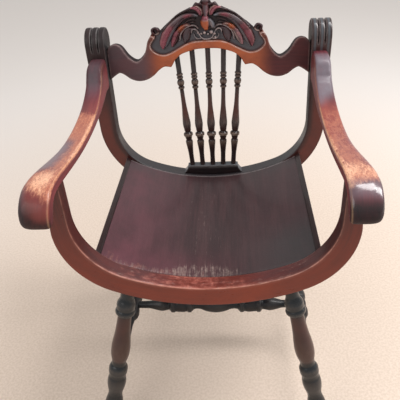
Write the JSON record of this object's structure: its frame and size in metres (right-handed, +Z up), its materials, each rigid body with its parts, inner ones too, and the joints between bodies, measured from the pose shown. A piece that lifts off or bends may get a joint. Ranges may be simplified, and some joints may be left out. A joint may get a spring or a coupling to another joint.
{
  "type": "armchair",
  "caption": "Dark wooden armchair on two U-shaped bows, with rolled arms, a dished seat, a carved crest rail over turned spindles, and splayed turned legs joined by an H-stretcher.",
  "frame": {"origin": "on the floor, under the middle of the chair's bounding box", "axes": "+Z up, the chair faces -Y, and +X is to the right of somebody who looks at the chair's front"},
  "size_m": [0.627, 0.6546, 0.9079],
  "materials": {
    "frame": "dark red-brown stained hardwood under a worn semi-gloss varnish",
    "arm": "stained hardwood, varnish worn through to orange-brown by hands",
    "crest": "dark red-brown stained hardwood, carved, with darkened hollows",
    "seat": "dark stained bent panel, scuffed semi-gloss varnish",
    "turned": "near-black brown stained turnings, semi-gloss",
    "dowel": "bare hardwood"
  },
  "bodies": {
    "root": {"front_bow_right": "frame", "front_bow_left": "frame", "rear_bow_right": "frame", "rear_bow_left": "frame", "front_bow_dowel_1": "dowel", "rear_bow_dowel_1": "dowel", "front_bow_dowel_2": "dowel", "rear_bow_dowel_2": "dowel", "arm_right": "arm", "arm_left": "arm", "arm_support_dowel_right": "dowel", "arm_support_dowel_left": "dowel", "arm_post_dowel_right": "dowel", "arm_post_dowel_left": "dowel", "crest_rail": "crest", "crest_dowel_right": "dowel", "crest_dowel_left": "dowel", "spindle_1": "turned", "spindle_2": "turned", "spindle_3": "turned", "spindle_4": "turned", "spindle_5": "turned", "spindle_block": "frame", "seat_panel": "seat", "seat_rail_right": "frame", "seat_rail_left": "frame", "seat_batten_front": "frame", "seat_batten_rear": "frame", "front_leg_right": "turned", "front_leg_left": "turned", "rear_leg_right": "turned", "rear_leg_left": "turned", "side_stretcher_right": "turned", "side_stretcher_left": "turned", "cross_stretcher": "turned"}
  },
  "joints": []
}
